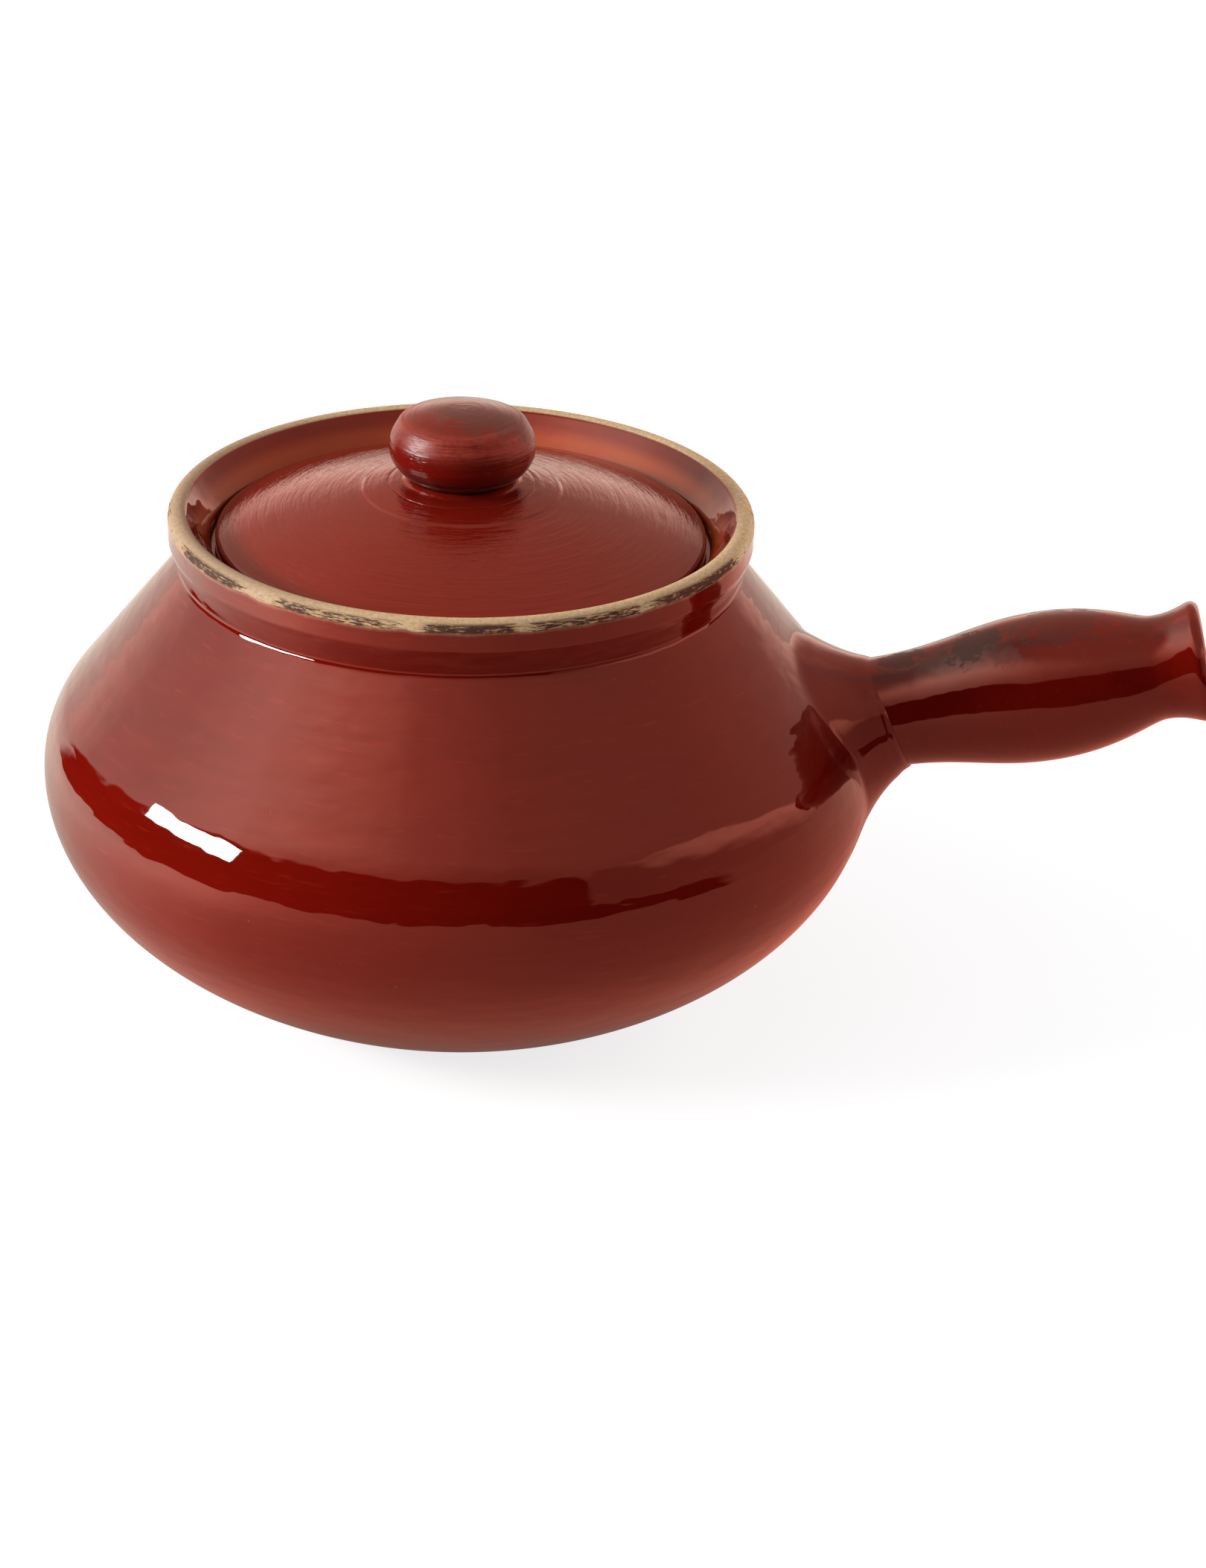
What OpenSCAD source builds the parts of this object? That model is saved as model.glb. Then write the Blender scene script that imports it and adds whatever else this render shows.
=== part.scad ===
// Glazed earthenware cooking pot with a hollow side handle and a lid that sits inside its collar.
// The origin is the centre of the foot, +Z runs up the pot's axis and +X points along the handle.

/* [Pot] */
// Height of the rim's top above the foot
rim_h = 141.3; // [130:0.1:160]
// Largest diameter across the belly
belly_d = 232.8; // [210:0.1:260]
// Height of the widest line of the belly
belly_h = 64; // [55:0.5:75]
// Diameter of the flat foot
foot_d = 104; // [90:1:120]
// Slope of the wall where it leaves the foot, from the horizontal
foot_slope = 18; // [12:1:26]
// Radius of the turn from the belly into the straight shoulder
shoulder_turn = 33; // [24:1:44]
// Thickness of the thrown wall
wall = 6; // [4:0.5:8]
// Thickness of the floor
floor_t = 7; // [5:0.5:10]

/* [Collar and lip] */
// Outer diameter at the bottom of the neck groove
neck_d = 155.6; // [150:0.1:160]
// Height of the collar, from the neck groove to the rim's top
collar_h = 16.4; // [15:0.1:20]
// Overhang of the collar's lower edge over the neck groove
collar_step = 1.4; // [0.8:0.1:2]
// Outer diameter of the rim
rim_d = 162.8; // [160:0.1:168]
// Thickness of the rolled lip
lip_t = 6.2; // [5:0.1:7]
// Slope of the funnel inside the lip, from the horizontal
funnel_slope = 46; // [38:1:54]
// Depth of the ledge below the rim's top
ledge_depth = 11.8; // [10.5:0.1:13]
// Thickness of the ledge at its inner edge
ledge_t = 4.5; // [3.5:0.1:6]
// Diameter of the mouth inside the ledge
mouth_d = 125; // [110:0.5:128]

/* [Lid] */
// Diameter of the lid
lid_d = 136.4; // [133:0.1:138]
// Gap all round between the lid's edge and the collar
lid_gap = 1.6; // [1:0.1:2.5]
// Gap left under the lid's flat rim by the glaze of the ledge
seat_gap = 0.3; // [0.2:0.05:0.5]
// Height of the lid's edge
lid_edge = 4.6; // [4:0.1:6]
// Width of the flat rim that sits on the ledge
lid_rim_w = 7.4; // [6.5:0.1:9]
// Thickness of the lid's dome
lid_t = 5.4; // [4.5:0.1:6.5]
// Rise of the dome from the edge to the pad
dome_rise = 12.2; // [10:0.1:16]
// Radius of the dome's shallow arc
dome_arc = 260; // [150:5:400]
// Diameter of the raised pad in the middle
pad_d = 56; // [50:0.5:62]
// Step from the dome up to the pad
pad_step = 0.5; // [0.3:0.1:1.2]
// Rise of the pad from its edge to its flat top
pad_rise = 1.6; // [1:0.1:2.5]

/* [Knob] */
// Diameter of the knob
knob_d = 40.3; // [36:0.1:46]
// Height of the knob above the pad
knob_h = 21.8; // [19:0.1:26]
// Height of the knob's widest line above the pad
knob_belly_h = 11.5; // [10:0.1:14]
// Diameter of the knob's neck
knob_neck_d = 29; // [26:0.1:32]
// Diameter of the clay ring that bonds the knob to the pad
knob_ring_d = 40.6; // [38:0.1:44]
// Thickness of that ring at its outer edge
knob_ring_t = 0.9; // [0.6:0.1:1.3]
// Thickness of that ring at the knob's neck
knob_ring_h = 2.1; // [1.6:0.1:2.6]

/* [Handle] */
// Upward tilt of the handle
handle_tilt = 12.3; // [0:0.5:18]
// Height of the handle's axis where it crosses the belly's largest radius
handle_h = 83.1; // [74:0.5:90]
// Length of the handle beyond the belly's largest radius
handle_l = 94.6; // [85:0.1:120]
// Thickness of the handle's wall
handle_wall = 5; // [4:0.1:6]
// Diameter of the first waist, next to the pot
waist_d = 31.4; // [29:0.1:34]
// Distance of the first waist beyond the belly's largest radius
waist_at = 3; // [1:0.1:8]
// Diameter of the grip at its fullest
grip_d = 41.9; // [38:0.1:46]
// Distance of the grip's fullest line beyond the belly's largest radius
grip_at = 48.5; // [42:0.1:54]
// Diameter of the second waist, before the flare
end_waist_d = 29.3; // [27:0.1:32]
// Length from the second waist to the handle's end
flare_l = 13.2; // [11:0.1:15]
// Diameter of the flared end
flare_d = 33.9; // [32:0.1:38]
// Slope of the flare against the handle's axis
flare_slope = 20; // [14:1:26]

/* [Handle collar] */
// Diameter of the clay collar where its trumpet is fully spread
root_d = 58.2; // [54:0.2:62]
// Distance of the collar's front edge beyond the belly's largest radius
root_at = 6.3; // [4.5:0.1:8]
// Length of the trumpet from its front edge to its full spread
root_l = 19.2; // [17:0.1:21]
// Slope of the spread edge against the collar's axis
root_slope = 46; // [42:1:50]
// Extra upward lean of the collar against the handle's axis
root_lean = 7; // [4:0.5:9]
// Drop of the collar's axis below the handle's axis
root_drop = 0.6; // [0:0.1:0.8]
// Thickness of the collar's front edge on the handle
root_t = 0.9; // [0.7:0.1:1.4]

/* [Hidden] */
$fn = 180;
glaze = [0.45, 0.1, 0.07];
belly_r = belly_d / 2;
foot_r = foot_d / 2;
neck_r = neck_d / 2;
neck_z = rim_h - collar_h;
lip_r = lip_t / 2;
lip_at = [rim_d / 2 - lip_r, rim_h - lip_r];
ledge_z = rim_h - ledge_depth;
mouth_r = mouth_d / 2;
lid_r = lid_d / 2;
collar_bore_r = lid_r + lid_gap;
lid_z = ledge_z + seat_gap;

// Rounding of the lid's upper edge, and how far in from the edge the dome starts
lid_edge_round = 1.7;
dome_inset = 1;
dome_foot = [lid_r - dome_inset, lid_z + lid_edge];
pad_r = pad_d / 2;
dome_top = [pad_r, dome_foot[1] + dome_rise];
knob_r = knob_d / 2;
knob_neck_r = knob_neck_d / 2;
knob_ring_r = knob_ring_d / 2;
pad_z = dome_top[1] + pad_step + pad_rise;
waist_r = waist_d / 2;
grip_r = grip_d / 2;
end_waist_r = end_waist_d / 2;
handle_end = belly_r + handle_l;
handle_lip_r = handle_wall / 2;
handle_lip_at = [flare_d / 2 - handle_lip_r, handle_end - handle_lip_r];

// Depth to which the handle and its collar are drawn inside the belly before they are cut to it
root_depth = 40;

// Number of bands that stand for each curved stretch
shoulder_bands = 4;
turn_bands = 9;
bowl_bands = 18;
grip_bands = 12;
flare_bands = 6;
root_bands = 12;
dome_bands = 8;
cheek_bands = 8;
crown_bands = 6;
corner_bands = 5;

// Unit vector along v
function unit(v) = v / norm(v);

// Points of an arc from angle a0 to angle a1
function arc(c, r, a0, a1, n) =
    [for (i = [0:n]) let(a = a0 + (a1 - a0) * i / n) c + r * [cos(a), sin(a)]];

// Points of a cubic curve with end points a and d, drawn towards b and c
function curve(a, b, c, d, n) =
    [for (i = [0:n]) let(t = i / n, s = 1 - t)
        a * s * s * s + b * 3 * s * s * t + c * 3 * s * t * t + d * t * t * t];

// A line of points without its first one
function after(points) = [for (i = [1:len(points) - 1]) points[i]];

// Points of an arc of radius r from p to q, bulging to the left of that direction
function bulge(p, q, r, n) =
    let(
        half = norm(q - p) / 2,
        along = unit(q - p),
        c = (p + q) / 2 + sqrt(r * r - half * half) * [along[1], -along[0]],
        a0 = atan2(p[1] - c[1], p[0] - c[0]),
        sweep = 2 * asin(half / r)
    )
    arc(c, r, a0, a0 - sweep, n);

// Points that round the corner b between a and c
function corner(a, b, c, r, n = corner_bands) =
    let(
        u = unit([a[0], a[1]] - [b[0], b[1]]),
        v = unit([c[0], c[1]] - [b[0], b[1]]),
        half = acos(u * v) / 2,
        centre = [b[0], b[1]] + unit(u + v) * r / sin(half),
        p = [b[0], b[1]] + u * r / tan(half) - centre,
        q = [b[0], b[1]] + v * r / tan(half) - centre,
        a0 = atan2(p[1], p[0]),
        turn = atan2(q[1], q[0]) - a0,
        sweep = turn > 180 ? turn - 360 : turn < -180 ? turn + 360 : turn
    )
    arc(centre, r, a0, a0 + sweep, n);

// An outline of [x, y] points and [x, y, radius] rounded corners, as plain points
function outline(path) =
    [for (i = [0:len(path) - 1])
        each len(path[i]) == 2 ? [path[i]] : corner(path[i - 1], path[i], path[i + 1], path[i][2])];

// The points of a smooth line moved by d to the right of its direction
function beside(points, d) =
    [for (i = [0:len(points) - 1])
        let(
            last = points[max(i - 1, 0)],
            next = points[min(i + 1, len(points) - 1)],
            along = unit(next - last)
        )
        points[i] + d * [along[1], -along[0]]];

// Outside of the pot from the neck groove to the foot: straight shoulder, turn, then the bowl
turn_centre = [belly_r - shoulder_turn, belly_h];
neck = [neck_r, neck_z];
neck_reach = norm(neck - turn_centre);
neck_bearing = atan2(neck[1] - turn_centre[1], neck[0] - turn_centre[0]);
shoulder_angle = neck_bearing - acos(shoulder_turn / neck_reach);
shoulder_foot = turn_centre + shoulder_turn * [cos(shoulder_angle), sin(shoulder_angle)];
shoulder_line = [for (i = [0:shoulder_bands - 1]) neck + (shoulder_foot - neck) * i / shoulder_bands];

// The turn stops this many degrees above the belly's widest line, where the bowl takes over
turn_end = 3;

// How strongly the bowl is pulled down from the belly and out from the foot
bowl_drop = belly_h / 2;
bowl_pull = 0.46;
bowl_run = (belly_r - foot_r) * bowl_pull;
outer_line = concat(
    shoulder_line,
    arc(turn_centre, shoulder_turn, shoulder_angle, turn_end, turn_bands),
    curve(
        [belly_r, belly_h],
        [belly_r, belly_h - bowl_drop],
        [foot_r + bowl_run * cos(foot_slope), bowl_run * sin(foot_slope)],
        [foot_r, 0],
        bowl_bands
    )
);
inner_line = beside(outer_line, wall);

// Roundings of the collar: neck edge, funnel's foot, ledge's corner, ledge's edge above and below, throat
neck_round = 1.2;
funnel_round = 3.5;
ledge_corner = 0.8;
ledge_edge_round = 1.2;
ledge_under_round = 1.8;
throat_round = 3;

// Rise of the collar's lower edge above the neck groove, and where the collar runs into the lip
collar_rise = 0.4;
lip_start = -12;

// Collar: outside from the neck groove to the lip, inside from the lip to the ledge and the throat
lip_in = lip_at + lip_r * [cos(90 + funnel_slope), sin(90 + funnel_slope)];
lip_out = lip_at + lip_r * [cos(lip_start), sin(lip_start)];
funnel_foot_z = lip_in[1] - (lip_in[0] - collar_bore_r) * tan(funnel_slope);
collar_outline = outline([
    neck,
    [neck_r + collar_step, neck_z + collar_rise, neck_round],
    lip_out,
    lip_at,
    lip_in,
    [collar_bore_r, funnel_foot_z, funnel_round],
    [collar_bore_r, ledge_z, ledge_corner],
    [mouth_r, ledge_z, ledge_edge_round],
    [mouth_r, ledge_z - ledge_t, ledge_under_round],
    [inner_line[0][0], inner_line[0][1], throat_round],
    inner_line[1]
]);

// The floor meets the wall in this rounding, a little outside the foot
floor_round = 8;
floor_r = foot_r + 3;

module pot_section_2d() {
    foot_to_neck = [for (i = [len(outer_line) - 1:-1:1]) outer_line[i]];
    wall_inside = [for (p = inner_line) if (p[1] > floor_t + floor_round && p[1] < inner_line[0][1]) p];
    polygon(concat(
        [[0, 0]],
        foot_to_neck,
        collar_outline,
        wall_inside,
        outline([
            wall_inside[len(wall_inside) - 1],
            [floor_r, floor_t, floor_round],
            [0, floor_t]
        ])
    ));
    translate(lip_at)
        circle(lip_r);
}

module pot_body() {
    color(glaze)
        rotate_extrude()
            pot_section_2d();
}

// Frame of the handle: its axis is local +Z and meets the belly's largest radius at handle_h
module at_handle() {
    translate([belly_r, 0, handle_h])
        rotate([0, 90 - handle_tilt, 0])
            translate([0, 0, -belly_r])
                children();
}

// Outside of the handle from inside the belly to the flared end
handle_start = belly_r - root_depth;
waist_z = belly_r + waist_at;
grip_z = belly_r + grip_at;
end_waist_z = handle_end - flare_l;
flare_edge = handle_lip_at + handle_lip_r * [cos(flare_slope), -sin(flare_slope)];
swell_l = grip_z - waist_z;
taper_l = end_waist_z - grip_z;
flare_back = [sin(flare_slope), cos(flare_slope)];

// Shares of each stretch that the curves keep straight after the waist, around the grip and at the end
waist_share = 0.42;
grip_rise_share = 0.37;
grip_fall_share = 0.58;
end_waist_share = 0.14;
flare_share = 0.3;
handle_line = concat(
    [[waist_r, handle_start]],
    curve(
        [waist_r, waist_z],
        [waist_r, waist_z + swell_l * waist_share],
        [grip_r, grip_z - swell_l * grip_rise_share],
        [grip_r, grip_z],
        grip_bands
    ),
    after(curve(
        [grip_r, grip_z],
        [grip_r, grip_z + taper_l * grip_fall_share],
        [end_waist_r, end_waist_z - taper_l * end_waist_share],
        [end_waist_r, end_waist_z],
        grip_bands
    )),
    after(curve(
        [end_waist_r, end_waist_z],
        [end_waist_r, end_waist_z + flare_l * flare_share],
        flare_edge - flare_l * flare_share * flare_back,
        flare_edge,
        flare_bands
    ))
);
bore_line = beside(handle_line, -handle_wall);

module handle_outside() {
    rotate_extrude()
        polygon(concat([[0, handle_start]], handle_line, [handle_lip_at, [0, handle_lip_at[1]]]));
}

module handle_section_2d() {
    reversed = [for (i = [len(bore_line) - 1:-1:0]) bore_line[i]];
    polygon(concat(handle_line, reversed));
    translate(handle_lip_at)
        circle(handle_lip_r);
}

// Everything inside the pot's outside, which cuts the handle and its collar to the belly
module pot_outside() {
    rotate_extrude()
        polygon(concat([[0, 0], [0, neck_z]], outer_line));
}

module handle() {
    color(glaze)
        difference() {
            at_handle()
                rotate_extrude()
                    handle_section_2d();
            pot_outside();
        }
}

// The clay collar is a trumpet round local Z, with its front edge at the origin, and spreads back to the belly.
// Share of its length that stays nearly straight, softness of the spread, run past the full spread
root_front_share = 0.34;
root_blend = 2;
root_tail = 5;

// Rounding of the front edge, and the lap into the handle before the handle is cut away
root_edge_round = 0.6;
root_lap = 1;
root_front_r = waist_r + root_t;
root_spread = [root_d / 2, -root_l];
root_back = [sin(root_slope), -cos(root_slope)];
trumpet_line = concat(
    curve(
        [root_front_r, 0],
        [root_front_r, -root_l * root_front_share],
        root_spread - root_back * root_blend,
        root_spread,
        root_bands
    ),
    [root_spread + root_back * root_tail]
);

module trumpet() {
    rotate_extrude()
        polygon(concat(
            [[0, root_spread[1] - root_depth], [0, 0]],
            outline([
                [waist_r - root_lap, 0],
                [root_front_r, 0, root_edge_round],
                trumpet_line[1]
            ]),
            [for (i = [2:len(trumpet_line) - 1]) trumpet_line[i]]
        ));
}

module handle_collar() {
    color(glaze)
        difference() {
            at_handle()
                translate([root_drop, 0, belly_r + root_at])
                    rotate([0, -root_lean, 0])
                        trumpet();
            at_handle()
                handle_outside();
            pot_outside();
        }
}

// Lid: the dome's top from the edge to the pad's flat top, and the hollow under it
dome_line = bulge(dome_top, dome_foot, dome_arc, dome_bands);
under_top_z = pad_z - lid_t - pad_step;
under_foot = [lid_r - lid_rim_w, lid_z];

// The hollow starts this far in from the flat rim and this high above it
hollow_in = 2;
hollow_up = 3.2;
hollow_foot = [under_foot[0] - hollow_in, lid_z + hollow_up];
hollow_line = bulge([pad_r, under_top_z - pad_rise], hollow_foot, dome_arc, dome_bands);

// Corner of the hollow at the flat rim, and its rounding
rim_corner = [under_foot[0] - 1, lid_z + 2.6];
rim_corner_round = 1.5;

// The cut for the hollow starts this far below the rim and this much wider there
hollow_clear = 1;
rim_flare = 0.4;

// Lower edge of the lid: its rounding, and the flat run before it. The upper edge is this much lower
lid_foot_round = 1;
lid_foot_run = 2;
edge_drop = 0.3;

// Edge of the pad: its start above the dome, the width of its slope, its rounding, the knob ring's margin
pad_lift = pad_step * 0.2;
pad_slope_w = 0.9;
pad_round = 0.5;
ring_margin = 0.8;

module lid_2d() {
    difference() {
        polygon(concat(
            [[0, lid_z]],
            outline([
                [lid_r - lid_foot_run, lid_z],
                [lid_r, lid_z, lid_foot_round],
                [lid_r, lid_z + lid_edge - edge_drop, lid_edge_round],
                dome_line[dome_bands - 1]
            ]),
            [for (i = [dome_bands - 2:-1:0]) dome_line[i]],
            outline([
                [pad_r, dome_top[1] + pad_lift],
                [pad_r - pad_slope_w, dome_top[1] + pad_step, pad_round],
                [knob_ring_r + ring_margin, pad_z],
                [0, pad_z]
            ])
        ));
        polygon(concat(
            [[0, lid_z - hollow_clear], [under_foot[0] + rim_flare, lid_z - hollow_clear]],
            outline([
                under_foot,
                [rim_corner[0], rim_corner[1], rim_corner_round],
                hollow_line[dome_bands - 1]
            ]),
            [for (i = [dome_bands - 2:-1:0]) hollow_line[i]],
            [[0, under_top_z]]
        ));
    }
}

module lid() {
    color(glaze)
        rotate_extrude()
            lid_2d();
}

// Knob: neck, lower cheek, widest line, upper cheek and the low crown
knob_belly = [knob_r, pad_z + knob_belly_h];
knob_overhang = knob_r - knob_neck_r;

// The neck rises straight, then the lower cheek swings out under the overhang to the widest line
neck_rise = 1.4;
cheek_foot = [knob_neck_r + 0.2, pad_z + 2.2];
cheek_pull = [knob_neck_r + knob_overhang * 0.55, pad_z + 4];

// Shares of the height below and above the widest line where the two cheeks are drawn to the full width
lower_share = 0.62;
upper_share = 0.38;

// The brow is the turn between the upper cheek and the crown, drawn out along this slope
brow_drop = 2.6;
knob_brow = [knob_r * 0.8, pad_z + knob_h - brow_drop];
brow_slope = [1, -0.46];
brow_out = 2.6;
brow_in = 3.2;
crown_flat_r = knob_r * 0.3;
knob_line = concat(
    [[knob_neck_r, pad_z], [knob_neck_r, pad_z + neck_rise]],
    curve(
        cheek_foot,
        cheek_pull,
        [knob_r, pad_z + knob_belly_h * lower_share],
        knob_belly,
        cheek_bands
    ),
    after(curve(
        knob_belly,
        [knob_r, pad_z + knob_belly_h + (knob_h - knob_belly_h) * upper_share],
        knob_brow + brow_out * brow_slope,
        knob_brow,
        cheek_bands
    )),
    after(curve(
        knob_brow,
        knob_brow - brow_in * brow_slope,
        [crown_flat_r, pad_z + knob_h],
        [0, pad_z + knob_h],
        crown_bands
    ))
);

module knob() {
    color(glaze)
        rotate_extrude()
            polygon(concat([[0, pad_z]], knob_line));
}

// The bonding ring: thin at its rounded outer edge and drawn up the knob's neck, which it laps before it is cut
ring_lap = 2;
ring_lean = 0.1;
ring_edge_round = 0.5;

// Hollow of the ring between its edge and the knob's neck
ring_waist = [knob_neck_r + 2.6, pad_z + knob_ring_t + 0.3];
ring_waist_round = 3;
ring_top_r = knob_neck_r + 0.6;

module knob_collar() {
    color(glaze)
        difference() {
            rotate_extrude()
                polygon(outline([
                    [knob_neck_r - ring_lap, pad_z],
                    [knob_ring_r, pad_z],
                    [knob_ring_r - ring_lean, pad_z + knob_ring_t, ring_edge_round],
                    [ring_waist[0], ring_waist[1], ring_waist_round],
                    [ring_top_r, pad_z + knob_ring_h],
                    [knob_neck_r - ring_lap, pad_z + knob_ring_h]
                ]));
            rotate_extrude()
                polygon(concat([[0, pad_z]], knob_line));
        }
}

pot_body();
handle();
handle_collar();
lid();
knob();
knob_collar();
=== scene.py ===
# %% [markdown]
# # A thrown and glazed earthenware cooking pot
# The pot is an old kitchen thing: a wide belly, a galleried collar that holds the lid, and a hollow
# handle. A potter throws five of its pieces on the wheel and lutes them together with soft clay.
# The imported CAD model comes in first. It is the frame that every visible piece below is fitted to.

from math import acos, asin, atan2, cos, degrees, pi, radians, sin, sqrt, tan

import bmesh
import bpy
from mathutils import Matrix, Vector
from mathutils.bvhtree import BVHTree


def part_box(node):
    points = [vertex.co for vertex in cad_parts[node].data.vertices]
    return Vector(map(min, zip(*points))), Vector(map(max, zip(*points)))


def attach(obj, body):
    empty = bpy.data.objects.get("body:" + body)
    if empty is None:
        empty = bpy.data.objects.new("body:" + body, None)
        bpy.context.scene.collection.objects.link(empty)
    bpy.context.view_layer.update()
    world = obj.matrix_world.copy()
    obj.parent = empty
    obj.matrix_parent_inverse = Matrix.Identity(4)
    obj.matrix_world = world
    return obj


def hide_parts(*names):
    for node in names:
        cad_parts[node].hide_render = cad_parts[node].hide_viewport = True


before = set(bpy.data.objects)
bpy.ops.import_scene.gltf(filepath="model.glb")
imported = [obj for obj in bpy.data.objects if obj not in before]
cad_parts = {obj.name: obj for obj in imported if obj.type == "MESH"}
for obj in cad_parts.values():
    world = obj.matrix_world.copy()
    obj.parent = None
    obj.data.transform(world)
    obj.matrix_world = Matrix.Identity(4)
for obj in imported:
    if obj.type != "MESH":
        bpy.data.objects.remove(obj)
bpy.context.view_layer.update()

# %% [markdown]
# # Sizes
# A potter works in millimetres, so the profiles below are in millimetres and shrink to metres when
# their mesh is made. The sizes that a box can tell are read from the frame, and the rest are the
# potter's own: slopes, thicknesses and the places of the turns.

# %% Read the frame's sizes
MM = 0.001


def box_mm(node):
    low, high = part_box(node)
    return low / MM, high / MM


belly_r = box_mm("pot_body")[1].x
rim_z = box_mm("pot_body")[1].z
lid_r = box_mm("lid")[1].x
lid_z = box_mm("lid")[0].z
pad_z = box_mm("lid")[1].z
knob_r = box_mm("knob")[1].x
knob_top = box_mm("knob")[1].z
knob_ring_r = box_mm("knob_collar")[1].x
print("belly", round(belly_r, 1), "rim", round(rim_z, 1), "lid", round(lid_r, 1), "knob", round(knob_r, 1))

# %% Sizes that the boxes don't tell
belly_z = 64.0
foot_r = 52.0
foot_slope = radians(18)
shoulder_turn = 33.0
wall = 6.0
floor_t = 7.0
floor_round = 8.0
neck_r = 77.8
neck_z = rim_z - 16.4
neck_bend_l = 2.0
neck_bend_r = 4.5
neck_bend = radians(20)
collar_lean = radians(20)
lip_r = 3.1
lip_at = Vector((81.4 - lip_r, rim_z - lip_r))
funnel_slope = radians(52)
ledge_z = rim_z - 11.8
ledge_t = 4.5
mouth_r = 62.5
collar_bore_r = lid_r + 1.6

# %% [markdown]
# # Profiles
# A thrown form is one line that turns round the wheel's axis. The line is drawn from three strokes:
# an arc, a curve that leaves and arrives along given directions, and a rounded corner. More points
# than in the CAD keep the glaze's mirror smooth.

# %% Strokes of a profile
def arc(centre, radius, start, end, count):
    """Points of an arc, with its angles in radians."""
    angles = [start + (end - start) * i / count for i in range(count + 1)]
    return [centre + radius * Vector((cos(a), sin(a))) for a in angles]


def curve(a, b, c, d, count):
    """Points of a cubic curve from a to d, drawn towards b and c."""
    points = []
    for i in range(count + 1):
        t = i / count
        s = 1 - t
        points.append(a * s ** 3 + b * 3 * s * s * t + c * 3 * s * t * t + d * t ** 3)
    return points


def corner(a, b, c, radius, count=8):
    """Points that round the corner b between a and c."""
    u = (a - b).normalized()
    v = (c - b).normalized()
    half = acos(max(-1, min(1, u.dot(v)))) / 2
    centre = b + (u + v).normalized() * radius / sin(half)
    p = b + u * radius / tan(half) - centre
    q = b + v * radius / tan(half) - centre
    start = atan2(p.y, p.x)
    turn = (atan2(q.y, q.x) - start + pi) % (2 * pi) - pi
    return arc(centre, radius, start, start + turn, count)


def outline(path):
    """Plain points from (r, z) points and (r, z, radius) rounded corners."""
    flat = [Vector(p[:2]) for p in path]
    points = []
    for i, p in enumerate(path):
        if len(p) == 3:
            points += corner(flat[i - 1], flat[i], flat[i + 1], p[2])
        else:
            points.append(flat[i])
    return points


def bulge(p, q, radius, count):
    """Points of an arc from p to q that bulges to the left of that direction."""
    half = (q - p).length / 2
    along = (q - p).normalized()
    centre = (p + q) / 2 + sqrt(radius ** 2 - half ** 2) * Vector((along.y, -along.x))
    start = atan2(p.y - centre.y, p.x - centre.x)
    return arc(centre, radius, start, start - 2 * asin(half / radius), count)


def beside(points, distance):
    """The points of a smooth line moved to the right of its direction."""
    moved = []
    for i, p in enumerate(points):
        along = (points[min(i + 1, len(points) - 1)] - points[max(i - 1, 0)]).normalized()
        moved.append(p + distance * Vector((along.y, -along.x)))
    return moved


# %% [markdown]
# # The wheel
# Blender's spin operator does what the wheel does. A few vertices joined by edges are turned round
# the axis, the seam is merged, and the doubled points at the poles become one. The normals are
# recalculated after that, so that all of them point outwards.

# %% Turn a profile on the wheel
def spun(points, steps):
    """A bmesh turned from profile points (r, z) in millimetres, still round local Z."""
    bm = bmesh.new()
    verts = [bm.verts.new((max(p.x, 0), 0, p.y)) for p in points]
    edges = [bm.edges.new(pair) for pair in zip(verts, verts[1:])]
    bmesh.ops.spin(
        bm, geom=verts + edges, cent=(0, 0, 0), axis=(0, 0, 1), angle=2 * pi, steps=steps, use_merge=True
    )
    bmesh.ops.remove_doubles(bm, verts=bm.verts, dist=0.002)
    bmesh.ops.recalc_face_normals(bm, faces=bm.faces)
    return bm


def finish_piece(name, bm, body, node):
    """Shrinks a bmesh from millimetres to metres and makes it the shown piece for a CAD node."""
    bmesh.ops.scale(bm, vec=(MM, MM, MM), verts=bm.verts)
    mesh = bpy.data.meshes.new(name)
    bm.to_mesh(mesh)
    bm.free()
    mesh.shade_smooth()
    piece = bpy.data.objects.new(name, mesh)
    bpy.context.scene.collection.objects.link(piece)
    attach(piece, body)
    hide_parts(node)
    print(name, "has", len(mesh.polygons), "faces")
    return piece


# %% [markdown]
# # The pot
# The outside runs from the foot round the belly and up a straight shoulder to the neck groove. The
# collar rises from there to a rolled lip. Inside, a funnel guides the lid down onto a ledge, the
# gallery, and the wall below it follows the outside at the wall's thickness.

# %% Profile of the pot's outside
turn_centre = Vector((belly_r - shoulder_turn, belly_z))
neck = Vector((neck_r, neck_z))
to_neck = neck - turn_centre
shoulder_angle = atan2(to_neck.y, to_neck.x) - acos(shoulder_turn / to_neck.length)
shoulder_top = turn_centre + shoulder_turn * Vector((cos(shoulder_angle), sin(shoulder_angle)))
shoulder_along = (shoulder_top - neck).normalized()
bend_at = neck + neck_bend_l * shoulder_along
bend_centre = bend_at + neck_bend_r * Vector((cos(shoulder_angle), sin(shoulder_angle)))
neck_turn = arc(bend_centre, neck_bend_r, shoulder_angle + pi - neck_bend, shoulder_angle + pi, 8)
crease = neck_turn[0]
near_bend = [bend_at + shoulder_along * d for d in (0.3, 1.0, 2.2)]
shoulder = neck_turn + near_bend + [bend_at.lerp(shoulder_top, i / 12) for i in range(1, 12)]
bowl_run = (belly_r - foot_r) * 0.46
turn = arc(turn_centre, shoulder_turn, shoulder_angle, 0, 36)
bowl = curve(
    Vector((belly_r, belly_z)),
    Vector((belly_r, belly_z / 2)),
    Vector((foot_r + bowl_run * cos(foot_slope), bowl_run * sin(foot_slope))),
    Vector((foot_r, 0)),
    60,
)
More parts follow.
